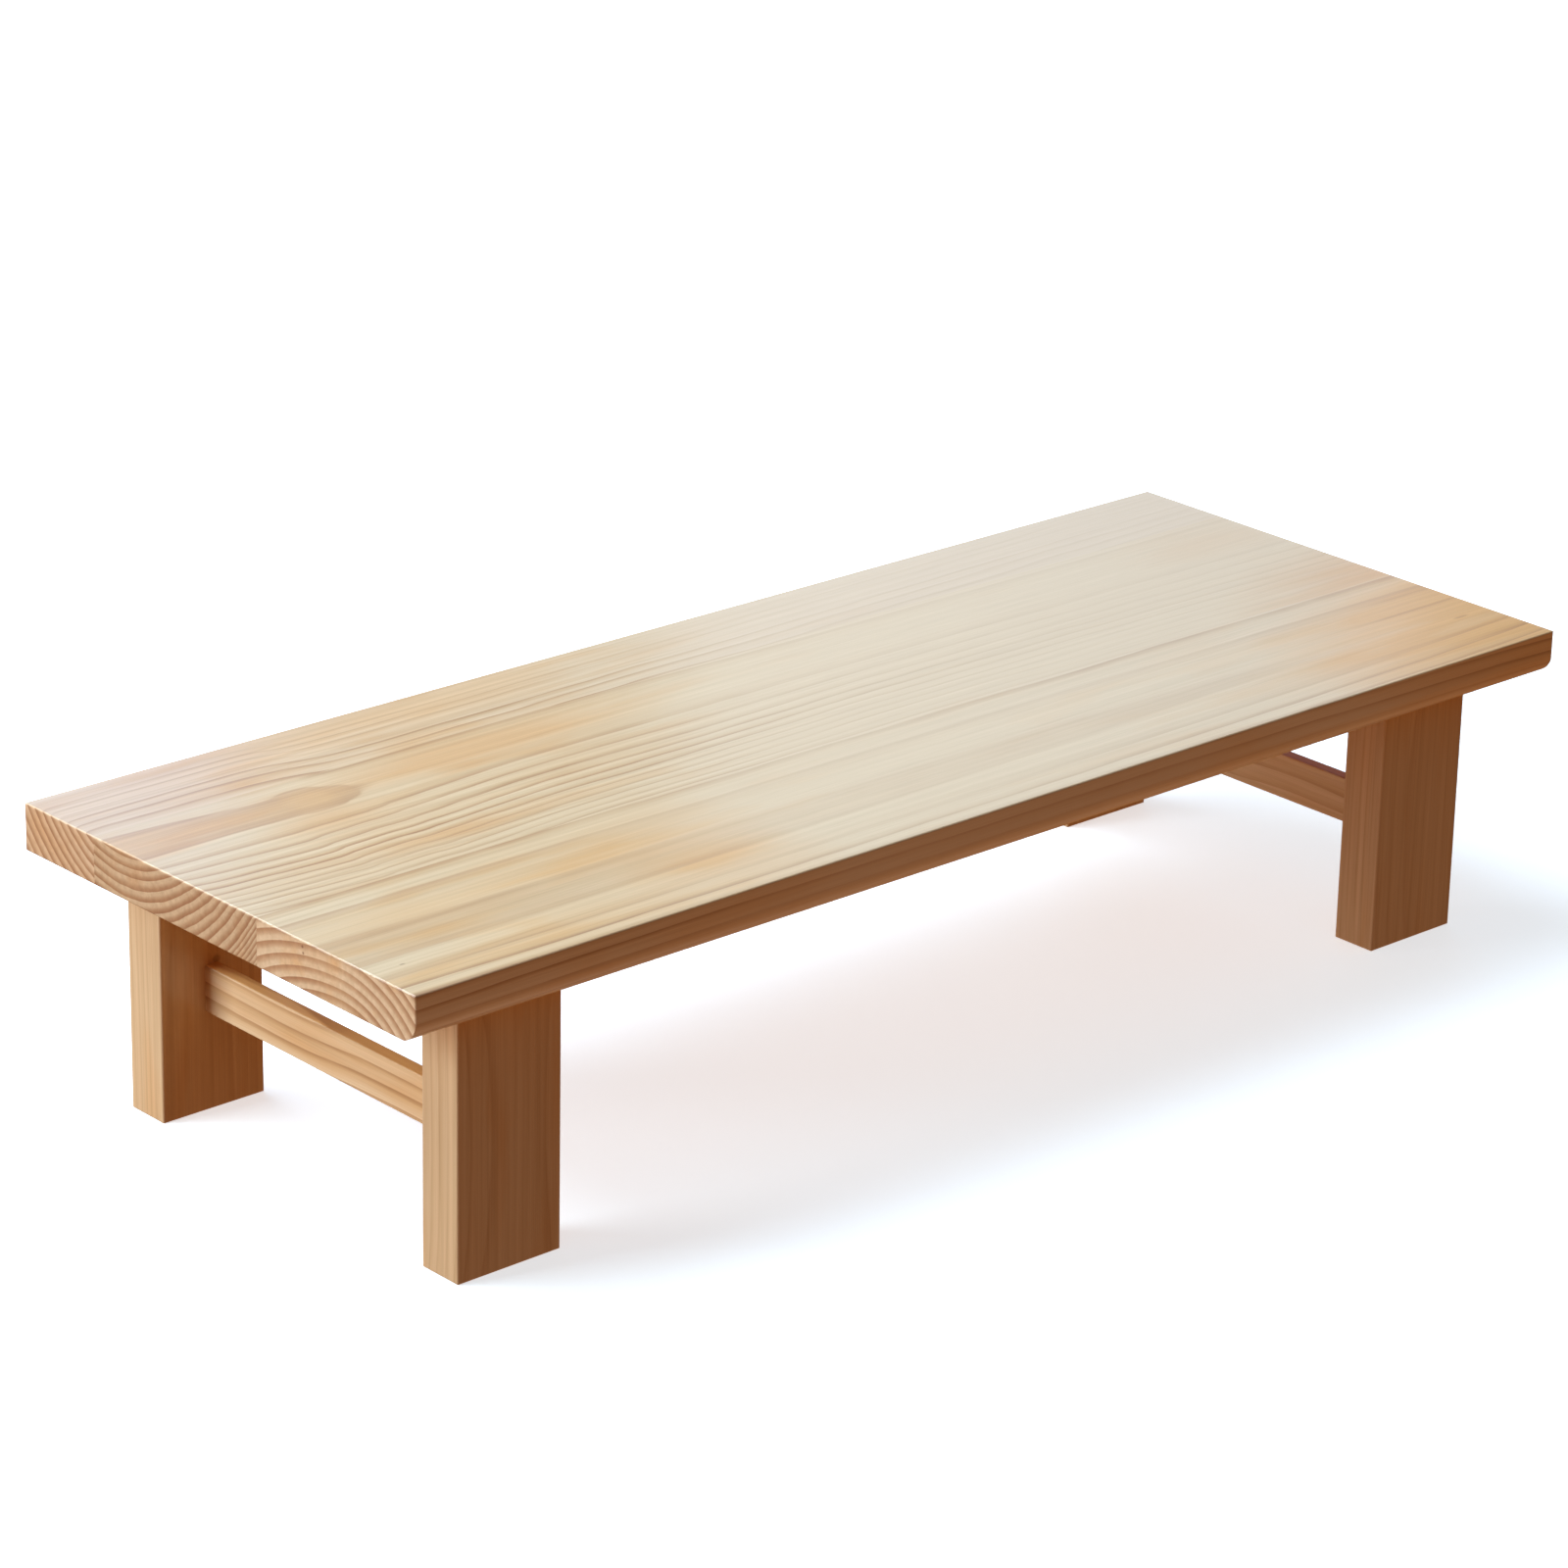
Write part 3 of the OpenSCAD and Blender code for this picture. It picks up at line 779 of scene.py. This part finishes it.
washerLook = {"outer": 0.012, "inner": 0.00405, "edge": 0.0005, "sharpEdge": 0.0001, "segments": 96}


def makeWashers():
    look = washerLook
    low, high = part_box("bolt_washers")
    thick = high.z - low.z
    outer, inner, edge, sharp = (look[k] for k in ("outer", "inner", "edge", "sharpEdge"))
    soft = softCorner * edge
    rings = [
        (edge, inner), (soft, inner + soft), (0.0, inner + edge),
        (0.0, outer - edge), (soft, outer - soft), (edge, outer),
        (thick - sharp, outer), (thick, outer - sharp),
        (thick, inner + sharp), (thick - sharp, inner),
    ]
    setCopies("washers", turnedSkin(rings, look["segments"], closed=True), boltPlaces(low.z),
              metalMaterial("zinc_washer", zincFinish), "bolt_washers")


makeWashers()


# Threaded inserts: collar and key socket down, coarse thread outside, fine thread in the bore

insertLook = {
    "outer": 0.0065, "collar": 0.0085, "collarHeight": 0.0015, "edge": 0.0003,
    "coarseDepth": 0.0009, "coarsePitch": 0.0028, "coarseSteps": 10, "coarseStart": 0.0006,
    "lead": 0.0012,
    "bore": 0.00405, "fineDepth": 0.0004, "finePitch": 0.00125, "fineSteps": 5, "fineStart": 0.0004,
    "socketFlats": 0.009, "socketDepth": 0.0035, "socketMouth": 0.585, "segments": 80,
}


def makeInserts():
    look = insertLook
    low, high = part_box("threaded_inserts")
    height = high.z - low.z
    collar, collarTop, outer = look["collar"], look["collarHeight"], look["outer"]
    bore, socket, edge = look["bore"], look["socketDepth"], look["edge"]
    hexagon = hexRadius(look["socketFlats"])
    rings = [
        (0.0, collar - edge), (edge, collar), (collarTop - edge, collar),
        (collarTop, collar - edge), (collarTop, outer - look["coarseDepth"]),
    ]
    rings += threadRings(collarTop + look["coarseStart"], height - look["lead"], outer,
                         look["coarseDepth"], look["coarsePitch"], look["coarseSteps"])
    rings += [(height, outer - look["lead"]), (height, bore + edge)]
    rings += threadRings(socket + look["fineStart"], height - edge, bore + look["fineDepth"],
                         look["fineDepth"], look["finePitch"], look["fineSteps"])[::-1]
    rings += [(socket, hexagon), (edge, hexagon), (0.0, look["socketFlats"] * look["socketMouth"])]
    setCopies("inserts", turnedSkin(rings, look["segments"], closed=True), boltPlaces(low.z),
              metalMaterial("brass_insert", brassFinish), "threaded_inserts")


makeInserts()
print("bolts, washers and inserts made")


# Dowels across the seams, with glue flutes along them

dowelLook = {"radius": 0.005, "length": 0.060, "chamfer": 0.0015, "ease": 0.0001,
             "flutes": 24, "fluteDepth": 0.00035, "fluteStart": 0.0004,
             "perSeam": 5, "segments": 96}

dowelWood = {"axes": ("+y", "+x", "+z"), "start": (300.0, 0.0, 0.0), "span": 600.0, "seed": 12,
             "pith": (40.0, 240.0), "spacing": 3.2, "changeAt": 900.0, "outerSpacing": 3.0,
             "ringShift": 0.0, "wave": 0.5, "contrast": 0.35, "warmth": 0.5}


def makeDowels():
    look = dowelLook
    radius, half, chamfer = look["radius"], 0.5 * look["length"], look["chamfer"]

    def fluted(angle):
        return radius - look["fluteDepth"] * max(0.0, math.cos(angle * look["flutes"])) ** 2

    shoulder = half - chamfer
    fluteEnd = shoulder - look["fluteStart"]
    rings = [(-half, radius - chamfer), (-shoulder, radius - look["ease"]), (-fluteEnd, fluted),
             (fluteEnd, fluted), (shoulder, radius - look["ease"]), (half, radius - chamfer)]
    low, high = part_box("board_dowels")
    firstX, lastX = low.x + radius, high.x - radius
    step = (lastX - firstX) / (look["perSeam"] - 1)
    lying = Matrix.Rotation(math.radians(90.0), 4, "X")
    height = 0.5 * (low.z + high.z)
    places = [Matrix.Translation((firstX + k * step, seamY, height)) @ lying
              for seamY in (low.y + half, high.y - half) for k in range(look["perSeam"])]
    setCopies("dowels", turnedSkin(rings, look["segments"]), places,
              pineMaterial("beech_dowel", dowelWood), "board_dowels")


makeDowels()
print("dowels made")


# Floor, light and camera

white = (1.0, 1.0, 1.0, 1.0)

floorLook = {"radius": 60.0, "segments": 96, "color": (0.86, 0.92, 0.94, 1.0), "roughness": 0.7,
             "glow": 0.62, "farGlow": 1.0,
             "glowGrows": (2.0, 6.0)}    # metres from the middle of the table

# Each lamp faces its aim. The far windows stand behind the table as the camera sees it,
# so their soft image lies on the lacquer.
lightRig = {
    "left window": {
        "place": (-3.5, 1.5, 1.35), "aim": (0.0, 0.0, 1.35), "size": (2.0, 2.7), "spread": 180,
        "power": 157, "color": (0.775, 0.895, 1.0)},
    "high soft": {
        "place": (-1.0, 1.6, 3.6), "aim": (0.0, 0.0, 0.2), "size": (3.0, 3.0), "spread": 180,
        "power": 248, "color": (0.675, 0.825, 1.0)},
    "far window left": {
        "place": (0.65, 2.80, 1.0), "aim": (-1.037, 0.954, 0.1), "size": (1.2, 0.95), "spread": 80,
        "power": 1.0, "color": (0.0, 0.25, 1.0)},
    "far window right": {
        "place": (1.90, 1.60, 1.0), "aim": (0.214, -0.246, 0.1), "size": (1.05, 1.0), "spread": 80,
        "power": 0.57, "color": (0.53, 0.71, 1.0)},
    "far warm glow": {
        "place": (2.30, 0.80, 0.95), "aim": (0.65, -0.45, 0.2), "size": (0.9, 0.9), "spread": 80,
        "power": 0.155, "color": (1.0, 0.3, 0.0)},
}

# Fill from three zones of the world, which start at these heights on a ball of radius 1
worldLook = {
    "under": (0.50, 0.36, 0.25, 1.0),
    "low": (0.272, 0.092, 0.015, 1.0),
    "high": (0.145, 0.227, 0.285, 1.0),
    "lowStarts": (-0.85, -0.65),
    "highStarts": (0.15, 0.45),
}


def makeFloor():
    look = floorLook
    mesh = bpy.data.meshes.new("floor")
    shape = bmesh.new()
    bmesh.ops.create_circle(shape, cap_ends=True, segments=look["segments"], radius=look["radius"])
    shape.to_mesh(mesh)
    shape.free()
    floor = bpy.data.objects.new("floor", mesh)
    bpy.context.scene.collection.objects.link(floor)
    material, tree = emptyMaterial("floor_paint")
    position = addNode(tree, "ShaderNodeTexCoord").outputs["Object"]
    near, far = look["glowGrows"]
    glow = addNode(tree, "ShaderNodeMapRange", {
        "Value": lengthOf(tree, position), "From Min": near, "From Max": far,
        "To Min": look["glow"], "To Max": look["farGlow"]})
    paint = addNode(tree, "ShaderNodeBsdfPrincipled", {
        "Base Color": look["color"], "Roughness": look["roughness"],
        "Emission Color": white, "Emission Strength": glow.outputs["Result"]})
    # seen from below, the floor is clear, so that the underside can be looked at
    clear = addNode(tree, "ShaderNodeBsdfTransparent")
    behind = addNode(tree, "ShaderNodeNewGeometry").outputs["Backfacing"]
    either = addNode(tree, "ShaderNodeMixShader",
                     {0: behind, 1: paint.outputs[0], 2: clear.outputs[0]})
    addNode(tree, "ShaderNodeOutputMaterial", {"Surface": either.outputs[0]})
    dress(floor, material)
    floor.visible_diffuse = False    # the world's warm fill reaches the shaded faces instead
    floor.visible_glossy = False
    floor.visible_shadow = False


def addSoftbox(name, setup):
    lamp = bpy.data.lights.new(name, "AREA")
    lamp.shape = "RECTANGLE"
    lamp.size, lamp.size_y = setup["size"]
    lamp.energy = setup["power"]
    lamp.color = setup["color"]
    lamp.spread = math.radians(setup["spread"])
    box = bpy.data.objects.new(name, lamp)
    bpy.context.scene.collection.objects.link(box)
    box.location = setup["place"]
    direction = Vector(setup["aim"]) - Vector(setup["place"])
    box.rotation_euler = direction.to_track_quat("-Z", "Y").to_euler()
    box.visible_camera = False


def lightWorld():
    world = bpy.data.worlds.new("studio")
    world.use_nodes = True
    tree = world.node_tree
    tree.nodes.clear()
    direction = addNode(tree, "ShaderNodeTexCoord").outputs["Generated"]
    rise = addNode(tree, "ShaderNodeSeparateXYZ", {0: direction}).outputs[2]
    color = worldLook["under"]
    for zone in ("low", "high"):
        start, end = worldLook[zone + "Starts"]
        share = addNode(tree, "ShaderNodeMapRange",
                        {"Value": rise, "From Min": start, "From Max": end})
        color = blendColors(tree, share.outputs["Result"], color, worldLook[zone])
    fill = addNode(tree, "ShaderNodeBackground", {"Color": color})
    # the camera sees plain white
    seen = addNode(tree, "ShaderNodeBackground", {"Color": white})
    direct = addNode(tree, "ShaderNodeLightPath").outputs["Is Camera Ray"]
    either = addNode(tree, "ShaderNodeMixShader",
                     {0: direct, 1: fill.outputs[0], 2: seen.outputs[0]})
    addNode(tree, "ShaderNodeOutputWorld", {"Surface": either.outputs[0]})
    bpy.context.scene.world = world


cameraSetup = {
    "place": (-3.21892, -3.46760, 2.06708),
    "yaw": 42.4077,          # degrees from +Y towards +X
    "pitch": 21.2384,        # degrees down
    "roll": 1.2469,
    "lens": 125.953,
    "sensor": 36.0,
    "clipEnd": 200.0,
}


def makeCamera():
    yaw, pitch, roll = (math.radians(cameraSetup[k]) for k in ("yaw", "pitch", "roll"))
    forward = Vector((math.sin(yaw) * math.cos(pitch), math.cos(yaw) * math.cos(pitch),
                      -math.sin(pitch)))
    level = Vector((math.cos(yaw), -math.sin(yaw), 0.0))
    upright = level.cross(forward)
    right = level * math.cos(roll) + upright * math.sin(roll)
    up = upright * math.cos(roll) - level * math.sin(roll)
    lens = bpy.data.cameras.new("camera")
    lens.lens = cameraSetup["lens"]
    lens.sensor_width = cameraSetup["sensor"]
    lens.sensor_fit = "HORIZONTAL"
    lens.clip_end = cameraSetup["clipEnd"]
    camera = bpy.data.objects.new("camera", lens)
    bpy.context.scene.collection.objects.link(camera)
    turn = Matrix((right, up, -forward)).transposed()
    camera.matrix_world = Matrix.Translation(cameraSetup["place"]) @ turn.to_4x4()
    bpy.context.scene.camera = camera


makeFloor()
for name, setup in lightRig.items():
    addSoftbox(name, setup)
lightWorld()
makeCamera()
bpy.context.scene.view_settings.view_transform = "Standard"
print("floor, light and camera ready")

bpy.context.view_layer.update()
